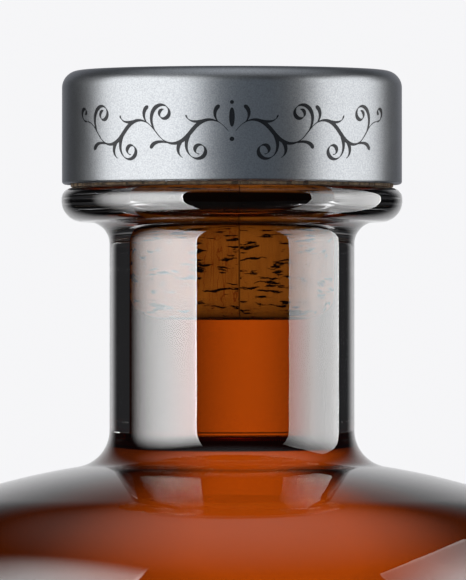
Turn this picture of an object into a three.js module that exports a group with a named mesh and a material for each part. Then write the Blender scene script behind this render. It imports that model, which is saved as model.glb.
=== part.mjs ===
// A squat spirit bottle with a rolled lip, closed by a capped cork stopper.
// Millimetres, +Z up. The origin is on the axis, on the surface the bottle stands on.
import * as THREE from 'three';

// Bottle, outside
const BODY_RADIUS = 53;
const NECK_RADIUS = 17.76;
const LIP_RADIUS = 24.72;
const LIP_TOP = 150;
const LIP_UPPER_ROUND = 1.6;
const LIP_LOWER_ROUND = 3.05;
const LIP_HEIGHT = 4.93;
const LIP_FILLET = 3.2;
const NECK_FOOT_TOP = 114.9;
const NECK_FOOT_FILLET = 5.37;
const SHOULDER_ARC = 106;
const SHOULDER_CENTRE_RADIUS = 5.65;
const SHOULDER_CORNER = 18;
const HEEL_ROUND = 7;

// Bottle, inside
const BORE_RADIUS = 9.8;
const MOUTH_ROUND = 1.2;
const WALL = 4;
const THROAT_FILLET = 9;
const INNER_CORNER = 14;
const INNER_HEEL = 10;
const FLOOR_EDGE = 9;
const FLOOR_CROWN = 4;
const BASE_RING_INNER = 38;
const PUNT_DEPTH = 6;

// Stopper
const HEAD_RADIUS = 24.65;
const HEAD_HEIGHT = 16.5;
const HEAD_TOP_ROUND = 2.5;
const HEAD_HEM_ROUND = 0.5;
const SHELL_THICKNESS = 0.9;
const FIT_GAP = 0.3;
const HEM_CLEARANCE = 0.5;
const WASHER_RADIUS = 23.4;
const WASHER_THICKNESS = 1.6;
const SEAT_GAP = 0.1;
const CORE_GAP = 0.1;
const CORK_RADIUS = 9.6;
const CORK_LENGTH = 19.1;
const CORK_ROUND = 3.6;
const SOCKET_DEPTH = 3;

const ROUND_SEGMENTS = 48;

// Heights worked out from the sizes above
const WASHER_BOTTOM = LIP_TOP + SEAT_GAP;
const WASHER_TOP = WASHER_BOTTOM + WASHER_THICKNESS;
const HEAD_BOTTOM = LIP_TOP + HEM_CLEARANCE;
const HEAD_TOP = HEAD_BOTTOM + HEAD_HEIGHT;
const CORE_BOTTOM = WASHER_TOP + CORE_GAP;

const material = (color, roughness, metalness) =>
  new THREE.MeshStandardMaterial({ color, roughness, metalness });

const GLASS = material(0x8a4a22, 0.05, 0);
const CORK = material(0x9a6a3a, 0.85, 0);
const WASHER_CORK = material(0x6a5038, 0.9, 0);
const BEECH = material(0xb08a5c, 0.7, 0);
const SATIN_ALUMINIUM = material(0x9aa6b4, 0.35, 1);

// Points of an arc about (centreRadius, centreHeight), from one angle to another in
// degrees. 0 points away from the axis and 90 points up.
function arc(centreRadius, centreHeight, radius, fromDegrees, toDegrees, steps) {
  const points = [];
  for (let i = 0; i <= steps; i += 1) {
    const turn = THREE.MathUtils.degToRad(fromDegrees + ((toDegrees - fromDegrees) * i) / steps);
    points.push([centreRadius + radius * Math.cos(turn), centreHeight + radius * Math.sin(turn)]);
  }
  return points;
}

// A body of revolution. The profile runs anticlockwise, seen with the axis on the left.
function turned(name, profile, skin, closed) {
  const points = profile.map(([radius, height]) => new THREE.Vector2(radius, height));
  if (closed) points.push(points[0].clone());
  const geometry = new THREE.LatheGeometry(points, ROUND_SEGMENTS);
  geometry.rotateX(Math.PI / 2);
  const mesh = new THREE.Mesh(geometry, skin);
  mesh.name = name;
  return mesh;
}

// The heel, wall and sloping shoulder of a body, up to the foot of the neck, and the
// concave fillet there. The shoulder arc is tangent to the corner and to the fillet.
function shoulderedWall(shape) {
  const { wallRadius, corner, slopeArc, slopeCentre, footRadius, footFillet, footTop, cut } = shape;
  const filletCentre = footRadius + footFillet;
  const reach = slopeArc + footFillet;
  const across = filletCentre - slopeCentre;
  const slopeHeight = footTop - Math.sqrt(reach * reach - across * across);
  const slopeTopAngle = THREE.MathUtils.radToDeg(Math.acos(across / reach));
  const cornerCentre = wallRadius - corner;
  const cornerReach = slopeArc - corner;
  const cornerAcross = cornerCentre - slopeCentre;
  const cornerAngle = THREE.MathUtils.radToDeg(Math.acos(cornerAcross / cornerReach));
  const cornerHeight = slopeHeight + Math.sqrt(cornerReach ** 2 - cornerAcross ** 2);
  return [
    ...arc(cornerCentre, cornerHeight, corner, 0, cornerAngle, cut),
    ...arc(slopeCentre, slopeHeight, slopeArc, cornerAngle, slopeTopAngle, cut).slice(1),
    ...arc(filletCentre, footTop, footFillet, slopeTopAngle + 180, 180, cut).slice(1),
  ];
}

function bottle() {
  const lipUnder = LIP_TOP - LIP_HEIGHT;
  const upperCentre = LIP_TOP - LIP_UPPER_ROUND;
  const lowerCentre = lipUnder + LIP_LOWER_ROUND;
  const outside = [
    ...arc(BODY_RADIUS - HEEL_ROUND, HEEL_ROUND, HEEL_ROUND, -90, 0, 5),
    ...shoulderedWall({
      wallRadius: BODY_RADIUS,
      corner: SHOULDER_CORNER,
      slopeArc: SHOULDER_ARC,
      slopeCentre: SHOULDER_CENTRE_RADIUS,
      footRadius: NECK_RADIUS,
      footFillet: NECK_FOOT_FILLET,
      footTop: NECK_FOOT_TOP,
      cut: 6,
    }),
    ...arc(NECK_RADIUS + LIP_FILLET, lipUnder - LIP_FILLET, LIP_FILLET, 180, 90, 4),
    ...arc(LIP_RADIUS - LIP_LOWER_ROUND, lowerCentre, LIP_LOWER_ROUND, -90, 0, 4),
    ...arc(LIP_RADIUS - LIP_UPPER_ROUND, upperCentre, LIP_UPPER_ROUND, 0, 90, 3),
  ];
  const mouth = arc(BORE_RADIUS + MOUTH_ROUND, LIP_TOP - MOUTH_ROUND, MOUTH_ROUND, 90, 180, 3);
  const hollow = shoulderedWall({
    wallRadius: BODY_RADIUS - WALL,
    corner: INNER_CORNER,
    slopeArc: SHOULDER_ARC - WALL,
    slopeCentre: SHOULDER_CENTRE_RADIUS,
    footRadius: BORE_RADIUS,
    footFillet: THROAT_FILLET,
    footTop: NECK_FOOT_TOP,
    cut: 5,
  }).reverse();
  const innerHeelCentre = BODY_RADIUS - WALL - INNER_HEEL;
  const floor = [
    ...arc(innerHeelCentre, FLOOR_EDGE + INNER_HEEL, INNER_HEEL, 0, -90, 5),
    ...dome(innerHeelCentre, FLOOR_EDGE, FLOOR_CROWN, 4).slice(1),
  ];
  const punt = dome(BASE_RING_INNER, 0, PUNT_DEPTH, 5).reverse();
  return turned('glass_bottle', [...punt, ...outside, ...mouth, ...hollow, ...floor], GLASS);
}

// A shallow crown from a rim at the given radius and height to the axis.
function dome(rimRadius, rimHeight, rise, steps) {
  const radius = (rimRadius * rimRadius + rise * rise) / (2 * rise);
  const rimAngle = THREE.MathUtils.radToDeg(Math.acos(rimRadius / radius));
  const points = arc(0, rimHeight + rise - radius, radius, rimAngle, 90, steps);
  points[steps][0] = 0;
  return points;
}

function corkShank() {
  const top = CORE_BOTTOM + SOCKET_DEPTH;
  const bottom = LIP_TOP - CORK_LENGTH;
  const outline = [
    [0, bottom],
    ...arc(CORK_RADIUS - CORK_ROUND, bottom + CORK_ROUND, CORK_ROUND, -90, 0, 5),
    [CORK_RADIUS, top],
    [0, top],
  ];
  return turned('cork_shank', outline, CORK);
}

function sealWasher() {
  const hole = CORK_RADIUS + FIT_GAP;
  const outline = [
    [hole, WASHER_BOTTOM],
    [WASHER_RADIUS, WASHER_BOTTOM],
    [WASHER_RADIUS, WASHER_TOP],
    [hole, WASHER_TOP],
  ];
  return turned('cork_washer', outline, WASHER_CORK, true);
}

function headCore() {
  const radius = HEAD_RADIUS - SHELL_THICKNESS - FIT_GAP;
  const top = HEAD_TOP - SHELL_THICKNESS - FIT_GAP;
  const round = HEAD_TOP_ROUND - SHELL_THICKNESS;
  const socket = CORK_RADIUS + FIT_GAP;
  const socketTop = CORE_BOTTOM + SOCKET_DEPTH + FIT_GAP;
  const outline = [
    [0, socketTop],
    [socket, socketTop],
    [socket, CORE_BOTTOM],
    [radius, CORE_BOTTOM],
    ...arc(radius - round, top - round, round, 0, 90, 3),
    [0, top],
  ];
  return turned('head_core', outline, BEECH);
}

function headShell() {
  const inside = HEAD_RADIUS - SHELL_THICKNESS;
  const innerRound = HEAD_TOP_ROUND - SHELL_THICKNESS;
  const outline = [
    [0, HEAD_TOP - SHELL_THICKNESS],
    ...arc(inside - innerRound, HEAD_TOP - HEAD_TOP_ROUND, innerRound, 90, 0, 4),
    [inside, HEAD_BOTTOM],
    ...arc(HEAD_RADIUS - HEAD_HEM_ROUND, HEAD_BOTTOM + HEAD_HEM_ROUND, HEAD_HEM_ROUND, -90, 0, 3),
    ...arc(HEAD_RADIUS - HEAD_TOP_ROUND, HEAD_TOP - HEAD_TOP_ROUND, HEAD_TOP_ROUND, 0, 90, 6),
    [0, HEAD_TOP],
  ];
  return turned('head_shell', outline, SATIN_ALUMINIUM);
}

const stopper = new THREE.Group();
stopper.add(corkShank(), sealWasher(), headCore(), headShell());

const group = new THREE.Group();
group.add(bottle(), stopper);

export default group;
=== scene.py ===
import math

import bpy
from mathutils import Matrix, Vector

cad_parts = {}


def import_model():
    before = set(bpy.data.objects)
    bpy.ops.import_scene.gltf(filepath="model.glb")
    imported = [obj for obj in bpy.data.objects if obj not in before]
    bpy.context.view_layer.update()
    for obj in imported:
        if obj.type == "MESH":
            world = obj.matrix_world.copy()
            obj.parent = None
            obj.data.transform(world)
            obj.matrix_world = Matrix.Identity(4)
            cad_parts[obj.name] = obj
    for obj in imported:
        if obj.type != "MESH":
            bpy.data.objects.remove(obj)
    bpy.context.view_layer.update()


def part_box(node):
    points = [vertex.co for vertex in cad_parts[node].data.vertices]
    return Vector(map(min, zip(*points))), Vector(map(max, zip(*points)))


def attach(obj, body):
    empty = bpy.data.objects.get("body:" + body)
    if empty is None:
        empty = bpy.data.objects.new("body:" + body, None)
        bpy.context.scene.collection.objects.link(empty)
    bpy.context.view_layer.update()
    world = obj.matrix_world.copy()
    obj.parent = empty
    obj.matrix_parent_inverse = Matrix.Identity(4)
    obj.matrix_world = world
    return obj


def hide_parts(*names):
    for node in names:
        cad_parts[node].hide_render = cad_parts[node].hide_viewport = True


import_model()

MM = 0.001

# Bottle, outside, in millimetres
BODY_RADIUS = 53
NECK_RADIUS = 17.76
LIP_RADIUS = 24.72
LIP_UPPER_ROUND = 1.6
LIP_LOWER_ROUND = 3.05
LIP_HEIGHT = 4.93
LIP_FILLET = 3.2
FOOT_DROP = 35.1
FOOT_FILLET = 5.37
SHOULDER_ARC = 106
SHOULDER_CENTRE = 5.65
SHOULDER_CORNER = 18
HEEL_ROUND = 7

# Bottle, inside
BORE_RADIUS = 9.8
MOUTH_ROUND = 1.2
WALL = 4
THROAT_FILLET = 9
INNER_CORNER = 14
INNER_HEEL = 10
FLOOR_EDGE = 9
FLOOR_CROWN = 4
BASE_RING_INNER = 38
PUNT_DEPTH = 6

# Spirit: how far its level is under the lip, and how far its sides go into the glass
SPIRIT_DROP = 1.3
SPIRIT_SOAK = 0.1

# Stopper
CORK_SQUEEZE = 0.05
CORK_ROUND = 3.6
CORK_TOP_EDGE = 0.4
CORK_JOINT = 0.9
# From this height up the cork is painted near black: painted shade where it sits in the lip and
# washer. With the stopper pulled it shows as a black band, about 3 mm high, under the head.
CORK_PAINTED_SHADE_FROM = 146.8
WASHER_EDGE = 0.15
SOCKET_GAP = 0.1
SOCKET_HEIGHT = 3.3
CORE_ROUND = 1.6
CORE_EDGE = 0.2
SHELL_THICKNESS = 0.9
SHELL_ROUND = 2.5
SHELL_HEM = 0.45

# Colours and refraction
GLASS_IOR = 1.5
UNBENT = 1.0
CLEAR = (1, 1, 1, 1)
GLASS_SHADOW = (0.99, 0.98, 0.97, 1)
SPIRIT_SHADOW = (0.98, 0.94, 0.88, 1)
SPIRIT_AMBER = (0.42, 0.059, 0.002, 1)
CORK_LIGHT = (0.86, 0.66, 0.36, 1)
CORK_BROWN = (0.62, 0.43, 0.22, 1)
CORK_RED = (0.42, 0.16, 0.07, 1)
# The cork's pore colour below is also used for the painted shade at the cork's top and at its
# bottom edge.
CORK_PORES_AND_SHADE = (0.012, 0.009, 0.008, 1)
WASHER_DARK = (0.075, 0.05, 0.028, 1)
WASHER_LIGHT = (0.19, 0.13, 0.075, 1)
WASHER_TOOTH = (0.025, 0.016, 0.01, 1)
SATIN_DARK = (0.28, 0.30, 0.33, 1)
SATIN_LIGHT = (0.40, 0.43, 0.47, 1)
SATIN_EDGE_ON = (0.45, 0.45, 0.47, 1)
FOIL_DARK = (0.018, 0.020, 0.024, 1)
FOIL_WORN = (0.07, 0.075, 0.085, 1)
BEECH_DARK = (0.42, 0.28, 0.15, 1)
BEECH_LIGHT = (0.62, 0.45, 0.27, 1)

# Frieze round the head, in millimetres and degrees
PEN_STEP = 0.12
PEN_STEPS_LEAST = 24
PEN_THIN = 0.09
PEN_POINT = 0.01
STEM_THICK = 0.62
NIB_ANGLE = 40
WAVES = 2.25
WAVE_LENGTH = 14.2
WAVE_SWING = 50
FRIEZE_SCALE = 0.93
FRIEZE_DROP = 1.2
FOIL_PROUD = 0.03
FOIL_DEPTH = 0.1

LATHE_SEGMENTS = 192
SHARP_FROM = 35

lip_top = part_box("glass_bottle")[1][2] / MM
head_bottom, head_top = (corner[2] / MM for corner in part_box("head_shell"))
head_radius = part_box("head_shell")[1][0] / MM
washer_bottom, washer_top = (corner[2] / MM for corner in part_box("cork_washer"))
washer_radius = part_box("cork_washer")[1][0] / MM
cork_bottom, cork_top = (corner[2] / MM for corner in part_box("cork_shank"))
core_bottom, core_top = (corner[2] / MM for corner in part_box("head_core"))
core_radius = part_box("head_core")[1][0] / MM


# ---------------------------------------------------------------- shader maths


class Value:
    """A socket of a material's nodes. Arithmetic on it adds Math nodes."""

    def __init__(self, paint, socket):
        self.paint = paint
        self.socket = socket

    def maths(self, operation, *others):
        inputs = dict(enumerate((self, *others)))
        return self.paint.node("ShaderNodeMath", {"operation": operation}, inputs)[0]

    def __add__(self, other):
        return self.maths("ADD", other)

    def __sub__(self, other):
        return self.maths("SUBTRACT", other)

    def __mul__(self, other):
        return self.maths("MULTIPLY", other)

    def __pow__(self, other):
        return self.maths("POWER", other)

    def __rsub__(self, other):
        return self.maths("MULTIPLY_ADD", -1, other)

    __radd__ = __add__
    __rmul__ = __mul__

    def step(self, low, high):
        """0 under low, 1 over high, smooth between them. low may be over high."""
        inputs = {"Value": self, "From Min": low, "From Max": high}
        settings = {"interpolation_type": "SMOOTHSTEP"}
        return self.paint.node("ShaderNodeMapRange", settings, inputs)["Result"]


class Outlets:
    """A node's outputs, by name or by number, as values."""

    def __init__(self, paint, node):
        self.paint = paint
        self.node = node

    def __getitem__(self, name):
        return Value(self.paint, self.node.outputs[name])


class Paint:
    """A tree of shader nodes for one material, lamp or world."""

    def __init__(self, tree):
        self.tree = tree

    def node(self, kind, settings=None, inputs=None):
        node = self.tree.nodes.new(kind)
        for name, value in (settings or {}).items():
            setattr(node, name, value)
        self.fill(node, inputs or {})
        return Outlets(self, node)

    def fill(self, node, inputs):
        for name, value in inputs.items():
            if isinstance(value, Value):
                self.tree.links.new(value.socket, node.inputs[name])
            else:
                node.inputs[name].default_value = value

    def place(self):
        return self.node("ShaderNodeTexCoord")["Object"]

    def vector_maths(self, operation, inputs):
        return self.node("ShaderNodeVectorMath", {"operation": operation}, inputs)[0]

    def shifted(self, vector, other):
        return self.vector_maths("ADD", {0: vector, 1: other})

    def raised(self, share, vector):
        """The vector, times a number that varies."""
        return self.vector_maths("SCALE", {0: vector, "Scale": share})

    def stretched(self, vector, scale):
        return self.vector_maths("MULTIPLY", {0: vector, 1: scale})

    def noise(self, vector, scale, detail=2.0, rough=0.5):
        inputs = {"Vector": vector, "Scale": scale, "Detail": detail, "Roughness": rough}
        return self.node("ShaderNodeTexNoise", {}, inputs)["Fac"]

    def mixed(self, share, low, high):
        colours = self.node("ShaderNodeMix", {"data_type": "RGBA"}, {"Factor": share})
        self.fill(colours.node, {6: low, 7: high})
        return colours[2]

    def bump(self, height, depth):
        return self.node("ShaderNodeBump", {}, {"Height": height, "Distance": depth})["Normal"]

    def split(self, vector):
        return self.node("ShaderNodeSeparateXYZ", {}, {0: vector})


def new_material(name, build, **plain):
    """A Principled material. build takes its Paint and returns the sockets that vary."""
    material = bpy.data.materials.new(name)
    material.use_nodes = True
    paint = Paint(material.node_tree)
    shader = material.node_tree.nodes["Principled BSDF"]
    sockets = {key.replace("_", " "): value for key, value in plain.items()}
    paint.fill(shader, sockets)
    paint.fill(shader, build(paint))
    return material


def bare(paint):
    """A finish with nothing that varies."""
    return {}


# -------------------------------------------------------------------- finishes


def letting_light_by(material, tint):
    """Lamps shine through this material, tinted, and don't stop at it."""
    tree = material.node_tree
    paint = Paint(tree)
    clear = paint.node("ShaderNodeBsdfTransparent", {}, {"Color": tint})[0]
    shadow = paint.node("ShaderNodeLightPath")["Is Shadow Ray"]
    solid = Value(paint, tree.nodes["Principled BSDF"].outputs[0])
    both = paint.node("ShaderNodeMixShader", {}, {0: shadow, 1: solid, 2: clear})[0]
    paint.fill(tree.nodes["Material Output"], {"Surface": both})
    return material


def see_through(name, build, tint, bending):
    """A polished clear finish. bending is how strongly it refracts, 1 being not at all."""
    plain = {"Base_Color": tint, "Roughness": 0.0, "IOR": bending, "Transmission_Weight": 1.0}
    return new_material(name, build, **plain)


def glass_finish():
    """Clear glass with a very faint ripple."""

    def build(paint):
        ripple = paint.noise(paint.place(), 60.0, 1.0)
        return {"Normal": paint.bump(ripple, 0.0000005)}

    return letting_light_by(see_through("bottle_glass", build, CLEAR, GLASS_IOR), GLASS_SHADOW)


def wetted_glass_finish():
    """The wall below the spirit's level, where light goes on straight from glass to spirit."""
    return letting_light_by(see_through("wetted_glass", bare, CLEAR, UNBENT), CLEAR)


def spirit_finish(name, bending):
    """Amber spirit. Light takes half of the tint on its way in and half on its way out."""
    return letting_light_by(see_through(name, bare, SPIRIT_AMBER, bending), SPIRIT_SHADOW)


def cork_finish():
    """Two strips of bark side by side: warm streaks up and down, dark pores across, and painted
    shade: near black at its bottom edge and over its top in the bore.
    """

    def build(paint):
        place = paint.place()
        spot = paint.split(place)
        right = (spot["X"] - CORK_JOINT * MM).step(-0.0001, 0.0001)
        moved = paint.shifted(place, paint.raised(right, (0.1, 0.2, 0.3)))
        warp = paint.noise(moved, 450.0, 3.0) - 0.5
        bent = paint.shifted(moved, paint.raised(warp, (0.0, 0.0, 0.0011)))
        grain = paint.noise(paint.stretched(moved, (1, 1, 0.3)), 1500.0, 3.0)
        patches = paint.noise(moved, 260.0, 2.0)
        shade = (grain * 0.5 + patches * 0.5 + right * 0.16).step(0.35, 0.75)
        tone = paint.mixed(shade, CORK_BROWN, CORK_LIGHT)
        leaning = paint.shifted(moved, paint.raised(warp, (0.0009, 0.0009, 0.0)))
        rays = paint.noise(paint.stretched(leaning, (1, 1, 0.05)), 1000.0, 1.0) - 0.5
        rays = rays.maths("ABSOLUTE").step(0.012, 0.004) * (0.75 - right * 0.45)
        tone = paint.mixed(rays, tone, CORK_RED)
        clusters = paint.noise(paint.stretched(moved, (1, 1, 2.0)), 330.0, 1.0)
        cracks = paint.noise(paint.stretched(bent, (1, 1, 6.0)), 330.0, 5.0, 0.6)
        pores = (cracks + clusters * 0.45).step(0.812, 0.835)
        joint = (spot["X"] - CORK_JOINT * MM).maths("ABSOLUTE").step(0.0001, 0.00003)
        # Painted shade: the cork's bottom face and its lowest 0.5 mm are darkened to near black.
        foot = (spot["Z"] - cork_bottom * MM).step(0.0005, 0.0001)
        marks = pores.maths("MAXIMUM", joint * 0.45).maths("MAXIMUM", foot * 0.9)
        colour = paint.mixed(marks, tone, CORK_PORES_AND_SHADE)
        # Painted shade: above the given height the cork's top is painted near black, standing in
        # for the shade inside the lip and washer.
        painted_shade_top = spot["Z"].step(CORK_PAINTED_SHADE_FROM * MM, (CORK_PAINTED_SHADE_FROM + 1) * MM)
        colour = paint.mixed(painted_shade_top, colour, CORK_PORES_AND_SHADE)
        return {"Base Color": colour, "Normal": paint.bump(grain * 0.3 - pores, 0.0004)}

    return new_material("cork", build, Roughness=0.8, Specular_IOR_Level=0.1)


def washer_finish():
    """Pressed cork, cut with fine up and down tooth marks."""

    def build(paint):
        place = paint.place()
        grain = paint.noise(place, 1400.0, 3.0)
        teeth = paint.noise(paint.stretched(place, (1, 1, 0.05)), 900.0, 2.0).step(0.52, 0.64)
        tone = paint.mixed(grain.step(0.3, 0.7), WASHER_DARK, WASHER_LIGHT)
        colour = paint.mixed(teeth * 0.85, tone, WASHER_TOOTH)
        return {"Base Color": colour, "Normal": paint.bump(grain * 0.5 - teeth, 0.0002)}

    return new_material("washer_cork", build, Roughness=0.85)


def satin_finish():
    """Anodised metal: a fine satin grain, and less shine where it is seen edge on."""

    def build(paint):
        grain = paint.noise(paint.place(), 5200.0, 2.0)
        cloud = paint.noise(paint.place(), 240.0, 2.0)
        colour = paint.mixed(grain.step(0.2, 0.8), SATIN_DARK, SATIN_LIGHT)
        rough = 0.32 + cloud * 0.06
        return {"Base Color": colour, "Roughness": rough, "Normal": paint.bump(grain, 0.00001)}

    return new_material("satin_aluminium", build, Metallic=1.0, Specular_Tint=SATIN_EDGE_ON)


def foil_finish():
    """Dark blocked foil, a little worn at its thin places."""

    def build(paint):
        place = paint.place()
        wear = paint.noise(place, 900.0, 4.0, 0.7).step(0.60, 0.80)
        colour = paint.mixed(wear, FOIL_DARK, FOIL_WORN)
        return {"Base Color": colour, "Roughness": 0.28 + wear * 0.2}

    return new_material("dark_foil", build, Metallic=0.7)


def beech_finish():
    """Turned beech, with its growth rings seen along the grain."""

    def build(paint):
        rings = paint.noise(paint.stretched(paint.place(), (1, 12, 12)), 30.0, 3.0)
        colour = paint.mixed(rings, BEECH_DARK, BEECH_LIGHT)
        return {"Base Color": colour, "Normal": paint.bump(rings, 0.0001)}

    return new_material("turned_beech", build, Roughness=0.6)


# ---------------------------------------------------------------------- shapes


def add(piece):
    bpy.context.scene.collection.objects.link(piece)
    return piece


def arc(centre_radius, centre_height, radius, start, end, steps):
    """Points of an arc, in degrees. 0 points away from the axis and 90 up."""
    turns = [math.radians(start + (end - start) * i / steps) for i in range(steps + 1)]
    return [
        (centre_radius + radius * math.cos(turn), centre_height + radius * math.sin(turn))
        for turn in turns
    ]


def dome(rim_radius, rim_height, rise, steps):
    """A shallow crown from its rim to the axis."""
    radius = (rim_radius**2 + rise**2) / (2 * rise)
    rim = math.degrees(math.acos(rim_radius / radius))
    points = arc(0, rim_height + rise - radius, radius, rim, 90, steps)
    return [*points[:-1], (0.0, points[-1][1])]


def made(name, vertices, faces, material):
    """A piece from vertices in metres and faces, in one material."""
    mesh = bpy.data.meshes.new(name)
    mesh.from_pydata(vertices, [], faces)
    mesh.materials.append(material)
    return add(bpy.data.objects.new(name, mesh))


def second_finish(piece, material, faces):
    """Gives these faces of a piece a finish of their own."""
    piece.data.materials.append(material)
    for face in faces:
        face.material_index = 1


def turned(name, outline, material, closed=False):
    """A body of revolution from an outline of (radius, height) in millimetres."""
    vertices, rings = [], []
    for radius, height in outline:
        count = LATHE_SEGMENTS if radius > 1e-6 else 1
        start = len(vertices)
        for i in range(count):
            turn = 2 * math.pi * i / LATHE_SEGMENTS
            place = (radius * math.cos(turn), radius * math.sin(turn), height)
            vertices.append([MM * value for value in place])
        rings.append([start + i % count for i in range(LATHE_SEGMENTS)])
    if closed:
        rings.append(rings[0])
    faces = []
    for low, high in zip(rings, rings[1:]):
        for i in range(LATHE_SEGMENTS):
            j = (i + 1) % LATHE_SEGMENTS
            corners = (low[i], low[j], high[j], high[i])
            faces.append(tuple(dict.fromkeys(corners)))
    piece = made(name, vertices, faces, material)
    piece.data.shade_smooth()
    piece.data.set_sharp_from_angle(angle=math.radians(SHARP_FROM))
    return piece


def shouldered(wall_radius, corner, slope_arc, foot_radius, foot_fillet, cut):
    """Corner, sloping shoulder and concave foot of the neck, each tangent to the next."""
    foot_top = lip_top - FOOT_DROP
    fillet_centre = foot_radius + foot_fillet
    reach = slope_arc + foot_fillet
    across = fillet_centre - SHOULDER_CENTRE
    slope_height = foot_top - math.sqrt(reach**2 - across**2)
    top_angle = math.degrees(math.acos(across / reach))
    corner_centre = wall_radius - corner
    corner_reach = slope_arc - corner
    corner_across = corner_centre - SHOULDER_CENTRE
    corner_angle = math.degrees(math.acos(corner_across / corner_reach))
    corner_height = slope_height + math.sqrt(corner_reach**2 - corner_across**2)
    return [
        *arc(corner_centre, corner_height, corner, 0, corner_angle, cut),
        *arc(SHOULDER_CENTRE, slope_height, slope_arc, corner_angle, top_angle, cut)[1:],
        *arc(fillet_centre, foot_top, foot_fillet, top_angle + 180, 180, cut)[1:],
    ]


def hollow_wall(shrink=0.0):
    """The inside of the bottle from the floor's edge to the throat, going up."""
    return shouldered(
        BODY_RADIUS - WALL - shrink,
        INNER_CORNER - shrink,
        SHOULDER_ARC - WALL - shrink,
        BORE_RADIUS - shrink,
        THROAT_FILLET + shrink,
        24,
    )


def hollow_floor(shrink=0.0):
    """The inside of the bottle from its wall to the middle of the floor."""
    centre = BODY_RADIUS - WALL - INNER_HEEL
    return [
        *arc(centre, FLOOR_EDGE + INNER_HEEL, INNER_HEEL - shrink, 0, -90, 12),
        *dome(centre, FLOOR_EDGE + shrink, FLOOR_CROWN, 16)[1:],
    ]


def glass_bottle():
    """One skin: up the outside, over the lip and down the inside to the floor."""
    under = lip_top - LIP_HEIGHT
    outside = [
        *arc(BODY_RADIUS - HEEL_ROUND, HEEL_ROUND, HEEL_ROUND, -90, 0, 12),
        *shouldered(BODY_RADIUS, SHOULDER_CORNER, SHOULDER_ARC, NECK_RADIUS, FOOT_FILLET, 24),
        *arc(NECK_RADIUS + LIP_FILLET, under - LIP_FILLET, LIP_FILLET, 180, 90, 16),
        *arc(LIP_RADIUS - LIP_LOWER_ROUND, under + LIP_LOWER_ROUND, LIP_LOWER_ROUND, -90, 0, 16),
        *arc(LIP_RADIUS - LIP_UPPER_ROUND, lip_top - LIP_UPPER_ROUND, LIP_UPPER_ROUND, 0, 90, 12),
    ]
    mouth = arc(BORE_RADIUS + MOUTH_ROUND, lip_top - MOUTH_ROUND, MOUTH_ROUND, 90, 180, 8)
    level = (BORE_RADIUS, lip_top - SPIRIT_DROP)
    punt = dome(BASE_RING_INNER, 0, PUNT_DEPTH, 16)[::-1]
    inside = [*mouth, level, *hollow_wall()[::-1], *hollow_floor()]
    piece = turned("bottle", [*punt, *outside, *inside], glass_finish())
    dry = len(punt) + len(outside) + len(mouth)
    second_finish(piece, wetted_glass_finish(), piece.data.polygons[dry * LATHE_SEGMENTS :])
    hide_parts("glass_bottle")
    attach(piece, "bottle")
    return piece


def spirit():
    """Spirit fills the bottle and stands round the cork, as a film between it and the glass."""
    level = lip_top - SPIRIT_DROP
    wall = hollow_wall(-SPIRIT_SOAK)
    outline = [*hollow_floor(-SPIRIT_SOAK)[::-1], *wall, (wall[-1][0], level), (0, level)]
    piece = turned("spirit", outline, spirit_finish("amber_spirit", UNBENT))
    surface = piece.data.polygons[-LATHE_SEGMENTS:]
    second_finish(piece, spirit_finish("spirit_surface", GLASS_IOR), surface)
    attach(piece, "bottle")


def stopper_piece(piece, node):
    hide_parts(node)
    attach(piece, "stopper")
    return piece


def cork_shank():
    """The cork bites a little way into the neck, as a squeezed cork does."""
    radius = BORE_RADIUS + CORK_SQUEEZE
    outline = [
        (0, cork_bottom),
        *arc(radius - CORK_ROUND, cork_bottom + CORK_ROUND, CORK_ROUND, -90, 0, 16),
        *arc(radius - CORK_TOP_EDGE, cork_top - CORK_TOP_EDGE, CORK_TOP_EDGE, 0, 90, 4),
        (0, cork_top),
    ]
    return stopper_piece(turned("cork", outline, cork_finish()), "cork_shank")


def cork_washer():
    hole = BORE_RADIUS + SOCKET_GAP
    rim = washer_radius - WASHER_EDGE
    outline = [
        (hole, washer_bottom),
        *arc(rim, washer_bottom + WASHER_EDGE, WASHER_EDGE, -90, 0, 4),
        *arc(rim, washer_top - WASHER_EDGE, WASHER_EDGE, 0, 90, 4),
        (hole, washer_top),
    ]
    piece = turned("washer", outline, washer_finish(), closed=True)
    return stopper_piece(piece, "cork_washer")


def head_core():
    socket = BORE_RADIUS + SOCKET_GAP
    socket_top = core_bottom + SOCKET_HEIGHT
    outline = [
        (0, socket_top),
        (socket, socket_top),
        (socket, core_bottom),
        *arc(core_radius - CORE_EDGE, core_bottom + CORE_EDGE, CORE_EDGE, -90, 0, 4),
        *arc(core_radius - CORE_ROUND, core_top - CORE_ROUND, CORE_ROUND, 0, 90, 8),
        (0, core_top),
    ]
    return stopper_piece(turned("core", outline, beech_finish()), "head_core")


def head_shell():
    inside = head_radius - SHELL_THICKNESS
    round_centre = (head_radius - SHELL_ROUND, head_top - SHELL_ROUND)
    hem_height = head_bottom + SHELL_HEM
    outline = [
        (0, head_top - SHELL_THICKNESS),
        *arc(*round_centre, SHELL_ROUND - SHELL_THICKNESS, 90, 0, 8),
        *arc(inside + SHELL_HEM, hem_height, SHELL_HEM, 180, 270, 4),
        *arc(head_radius - SHELL_HEM, hem_height, SHELL_HEM, -90, 0, 6),
        *arc(*round_centre, SHELL_ROUND, 0, 90, 16),
        (0, head_top),
    ]
    return stopper_piece(turned("shell", outline, satin_finish()), "head_shell")


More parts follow.
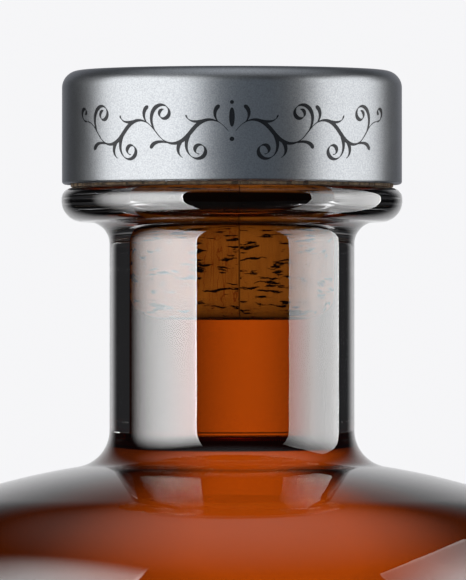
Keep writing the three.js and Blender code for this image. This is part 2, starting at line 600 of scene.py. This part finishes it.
def pen_stroke(start, heading, length, bend, thick, nib=NIB_ANGLE, tip=0.14):
    """A stroke of a broad pen, as (across, up, heading, half width) along it. bend gives
    its curvature at each share of its length. It narrows over the tip at each end."""
    across, up = start
    turn = math.radians(heading)
    count = max(PEN_STEPS_LEAST, round(length / PEN_STEP))
    pace = length / count
    stroke = []
    for i in range(count + 1):
        share = i / count
        swell = abs(math.sin(turn - math.radians(nib))) ** 1.3
        taper = min(1, share / tip, (1 - share) / tip)
        rounded = (taper * (2 - taper)) ** 0.5
        width = PEN_THIN + (thick - PEN_THIN) * swell
        stroke.append((across, up, turn, PEN_POINT + width * rounded / 2))
        turn += bend(share) * pace
        across += math.cos(turn) * pace
        up += math.sin(turn) * pace
    return stroke


def scrollwork():
    """Half of a frieze: a waving stem with a curl and two leaves at each bend."""
    length = WAVES * WAVE_LENGTH
    swing = math.radians(WAVE_SWING)
    pace = 2 * math.pi * WAVES

    def wave(share):
        return -swing * pace / length * math.sin(pace * share)

    stem = pen_stroke((0.5, 0), WAVE_SWING, length, wave, STEM_THICK)
    strokes = [stem]

    def grow(half_waves, turn, size, first, last, thick=STEM_THICK):
        """A curl from a place on the stem. Its curvature goes from first to last."""

        def curl(share):
            return first + (last - first) * share**1.6

        across, up, heading, _ = stem[round(half_waves / (2 * WAVES) * (len(stem) - 1))]
        strokes.append(pen_stroke((across, up), math.degrees(heading) + turn, size, curl, thick))

    for i in range(4):
        side = 1 if i % 2 else -1
        grow(i + 1, 0, 11.0, side * 0.26, side * 1.65)
        grow(i + 0.62, side * -6, 3.4, side * -0.1, side * -1.1)
        grow(i + 0.30, side * -14, 3.0, side * -0.5, side * -0.9)
    grow(2 * WAVES, 0, 4.6, 0.5, 2.6, 0.6)
    return strokes


def middle_strokes():
    """Three upright strokes of the frieze, one over the other in the middle."""

    def straight(share):
        return 0

    spans = ((0.7, 3.7, 0.85), (4.2, 4.8, 0.6), (-1.5, -0.8, 0.7))
    return [
        pen_stroke((0, low), 90, high - low, straight, wide, nib=0, tip=0.5)
        for low, high, wide in spans
    ]


def frieze():
    """Scrollwork in dark foil round the front of the head, the same on both sides."""
    middle = (head_bottom + head_top) / 2 - FRIEZE_DROP
    rim, below = head_radius + FOIL_PROUD, head_radius - FOIL_DEPTH
    vertices, faces = [], []
    half = scrollwork()
    strokes = [(1, stroke) for stroke in middle_strokes() + half]
    strokes += [(-1, stroke) for stroke in half]
    for side, stroke in strokes:
        first = len(vertices)
        for across, up, turn, half_width in stroke:
            for sign, radius in ((1, rim), (-1, rim), (-1, below), (1, below)):
                round_head = across - sign * half_width * math.sin(turn)
                angle = side * round_head * FRIEZE_SCALE / head_radius
                height = middle + (up + sign * half_width * math.cos(turn)) * FRIEZE_SCALE
                place = (radius * math.sin(angle), -radius * math.cos(angle), height)
                vertices.append([MM * value for value in place])
        rows = [list(range(start, start + 4)) for start in range(first, len(vertices), 4)]
        ribbon = [rows[0], rows[-1][::-1]]
        for low, high in zip(rows, rows[1:]):
            for i in range(4):
                j = (i + 1) % 4
                ribbon.append([low[j], low[i], high[i], high[j]])
        faces += ribbon if side < 0 else [face[::-1] for face in ribbon]
    piece = made("frieze", vertices, faces, foil_finish())
    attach(piece, "stopper")
    return piece


# ----------------------------------------------------------------------- stage

# Camera and floor, in metres
CAMERA_DISTANCE = 1.45
CAMERA_HEIGHT = 0.11926
AIM_HEIGHT = 0.1352
AIM_SIDE = 0.00015
LENS = 620.7
FLOOR_RADIUS = 1.8
FLOOR_DARK = (0.78, 0.78, 0.79, 1)
FLOOR_LIGHT = (0.82, 0.82, 0.83, 1)

# What stands round the bottle
PALE = (0.92, 0.92, 0.935, 1)
DARK = (0.016, 0.016, 0.017, 1)
AMBIENT = (0.5, 0.52, 0.55, 1)
GLOW_TURN = 5

# Lamps
WHITE = (1, 1, 1)
WARM = (1.0, 0.965, 0.915)
COOL = (0.75, 0.9, 1.05)
FLOOR_LAMP_SIZE = 5.0
FLOOR_LAMP_HEIGHT = 2.0
FLOOR_LAMP_POWER = 58.0
LEFT, RIGHT = -1, 1
SOFTBOX_DISTANCE = 1.2
SOFTBOX_AIM = Vector((0, 0, 0.125))


def camera():
    """A long lens from the front, looking slightly up."""
    lens = bpy.data.cameras.new("camera")
    lens.lens = LENS
    lens.clip_end = 50
    piece = add(bpy.data.objects.new("camera", lens))
    piece.location = (AIM_SIDE, -CAMERA_DISTANCE, CAMERA_HEIGHT)
    look = Vector((AIM_SIDE, 0, AIM_HEIGHT)) - piece.location
    piece.rotation_euler = look.to_track_quat("-Z", "Y").to_euler()
    bpy.context.scene.camera = piece


def left_fade(front, height):
    """Brightest near the front, with a bright rim there, and weaker up high and low down."""
    rim = front.step(0.975, 0.985) * 0.5
    top = height.step(1.0, 0.8) * (0.42 + height.step(0.85, 0.62) * 0.58)
    foot = 0.5 + height.step(0.35, 0.58) * 0.5
    return (front.step(0, 0.8) + rim) * top * foot


def right_fade(front, height):
    """Brightest half way, with a bright line on three edges, and weaker up high and low down."""
    beyond = (front - 0.5).maths("MAXIMUM", 0)
    before = (0.5 - front).maths("MAXIMUM", 0)
    slope = 1 - beyond * 1.08 - before * 0.55
    side_edge = (front - 0.5).maths("ABSOLUTE").step(0.485, 0.49)
    edge = side_edge.maths("MAXIMUM", height.step(0.985, 0.99))
    top = 0.24 + height.step(0.976, 0.662) * 0.76
    foot = 0.4 + height.step(0.3, 0.6) * 0.6
    return (slope + edge * 0.4) * top * foot


def even_fade(front, height):
    """The same light all over."""
    return 1.0


def softbox(name, facing, side, sweep, rise, radiance, fade=even_fade, colour=WHITE):
    """An upright lamp. facing is the azimuth of its normal, in degrees from the front
    towards its side. sweep is the azimuths of its near and far edges, rise the slopes of
    its lower and upper edges. fade takes how near the front a point is and how high, both
    from 0 to 1, and returns the share of light."""
    near, far = (math.tan(math.radians(edge - facing)) for edge in sweep)
    width = (far - near) * SOFTBOX_DISTANCE
    height = (rise[1] - rise[0]) * SOFTBOX_DISTANCE
    lamp = bpy.data.lights.new(name, "AREA")
    lamp.shape = "RECTANGLE"
    lamp.size = width
    lamp.size_y = height
    lamp.energy = radiance * math.pi * width * height
    lamp.color = colour
    turn = math.radians(facing)
    outward = Vector((side * math.sin(turn), -math.cos(turn), 0))
    along = Vector((side * math.cos(turn), math.sin(turn), 0))
    middle = outward + along * (near + far) / 2 + Vector((0, 0, sum(rise) / 2))
    piece = add(bpy.data.objects.new(name, lamp))
    piece.location = SOFTBOX_AIM + middle * SOFTBOX_DISTANCE
    piece.rotation_euler = outward.to_track_quat("Z", "Y").to_euler()
    piece.visible_camera = False
    piece.visible_transmission = False
    lamp.use_nodes = True
    paint = Paint(lamp.node_tree)
    spot = paint.split(paint.node("ShaderNodeNewGeometry")["Parametric"])
    front = spot["X"] if side == LEFT else 1 - spot["X"]
    share = fade(front, spot["Y"])
    paint.fill(lamp.node_tree.nodes["Emission"], {"Strength": share})
    return piece


def floor_light():
    """A wide soft light straight above, for the floor alone."""
    lamp = bpy.data.lights.new("floor_light", "AREA")
    lamp.shape = "DISK"
    lamp.size = FLOOR_LAMP_SIZE
    lamp.energy = FLOOR_LAMP_POWER
    piece = add(bpy.data.objects.new("floor_light", lamp))
    piece.location = (0, 0, FLOOR_LAMP_HEIGHT)
    piece.visible_camera = False
    piece.visible_transmission = False
    piece.visible_glossy = False
    return piece


def only_on(lamp, pieces):
    """This lamp lights these pieces and nothing else."""
    group = bpy.data.collections.new(lamp.name + "_lit")
    for piece in pieces:
        group.objects.link(piece)
    lamp.light_linking.receiver_collection = group


def world():
    """A pale room. What the glass bends and mirrors has dark flags and a dark front."""
    sky = bpy.data.worlds.new("pale_studio")
    sky.use_nodes = True
    paint = Paint(sky.node_tree)
    path = paint.node("ShaderNodeLightPath")
    look = paint.split(paint.node("ShaderNodeTexCoord")["Generated"])
    depth = look["Y"].maths("ABSOLUTE")
    rise = look["Z"]
    degrees = 180 / math.pi
    off_axis = look["X"].maths("ABSOLUTE").maths("ARCTAN2", depth) * degrees
    behind = look["Y"].step(0, 0.1)

    swing = (look["X"].maths("ARCTAN2", depth) * degrees + GLOW_TURN).maths("ABSOLUTE")
    glow = swing.step(31, 0) + off_axis.step(60, 90)
    tail = swing.step(80, 5) * rise.step(-0.15, -0.3) * 0.2
    onward = look["Y"].step(0.05, 0.35)
    gap = rise.step(-0.126, -0.130) * rise.step(-0.2, -0.195)
    bent = paint.mixed((glow + tail) * onward * (1 - gap), DARK, PALE)

    crown = (rise - 0.68).maths("MAXIMUM", 0) ** 1.5 * 4.4
    backdrop = off_axis.step(40, 18) * behind * rise.step(0.72, 0.2) * 0.85
    reflected = paint.mixed(backdrop.maths("MAXIMUM", crown), DARK, PALE)

    colour = paint.mixed(path["Is Glossy Ray"], AMBIENT, reflected)
    colour = paint.mixed(path["Is Transmission Ray"], colour, bent)
    colour = paint.mixed(path["Is Camera Ray"], colour, PALE)
    paint.fill(sky.node_tree.nodes["Background"], {"Color": colour})
    bpy.context.scene.world = sky


def floor_finish():
    """A pale paper floor that fades away towards its edge."""

    def build(paint):
        place = paint.place()
        spot = paint.split(place)
        away = (spot["X"] ** 2 + spot["Y"] ** 2) ** 0.5
        tone = paint.noise(place, 3.0)
        colour = paint.mixed(tone, FLOOR_DARK, FLOOR_LIGHT)
        return {"Base Color": colour, "Alpha": away.step(FLOOR_RADIUS, FLOOR_RADIUS / 3)}

    return new_material("pale_floor", build, Roughness=0.6)


def floor():
    turns = [2 * math.pi * i / LATHE_SEGMENTS for i in range(LATHE_SEGMENTS)]
    rim = [(FLOOR_RADIUS * math.cos(turn), FLOOR_RADIUS * math.sin(turn), 0) for turn in turns]
    piece = made("floor", rim, [range(LATHE_SEGMENTS)], floor_finish())
    piece.visible_glossy = False
    piece.visible_transmission = False
    return piece


camera()
bottle = glass_bottle()
spirit()
stopper = [cork_shank(), cork_washer(), head_core(), head_shell(), frieze()]
world()
ground = floor()

dry_pieces = stopper[1:]
only_on(floor_light(), [ground])
front_fill = softbox(
    "front_fill", 0, RIGHT, sweep=(-35, 35), rise=(-0.5, 0.5), radiance=0.16, colour=COOL
)
cork_light = softbox("cork_light", 0, RIGHT, sweep=(-50, 50), rise=(-0.6, 0.6), radiance=1.2)
left_glass_light = softbox(
    "left_glass_light", 60, LEFT, sweep=(33, 111), rise=(-1.8, 1.25), radiance=14.5, fade=left_fade
)
right_glass_light = softbox(
    "right_glass_light",
    98,
    RIGHT,
    sweep=(55, 120),
    rise=(-1.8, 1.07),
    radiance=9.6,
    fade=right_fade,
)
left_light = softbox(
    "left_light", 60, LEFT, sweep=(22, 100), rise=(-0.8, 0.9), radiance=2.6, colour=WARM
)
right_light = softbox(
    "right_light", 98, RIGHT, sweep=(57, 117), rise=(-0.8, 0.724), radiance=2.35, colour=WARM
)
cork_light.data.cycles.use_multiple_importance_sampling = False
only_on(cork_light, stopper[:1])
only_on(left_glass_light, [bottle])
only_on(right_glass_light, [bottle])
for lamp in (front_fill, left_light, right_light):
    only_on(lamp, dry_pieces)

scene = bpy.context.scene
scene.view_settings.view_transform = "Standard"
scene.cycles.caustics_refractive = False
scene.cycles.caustics_reflective = False
scene.cycles.transmission_bounces = 20
scene.cycles.max_bounces = 24
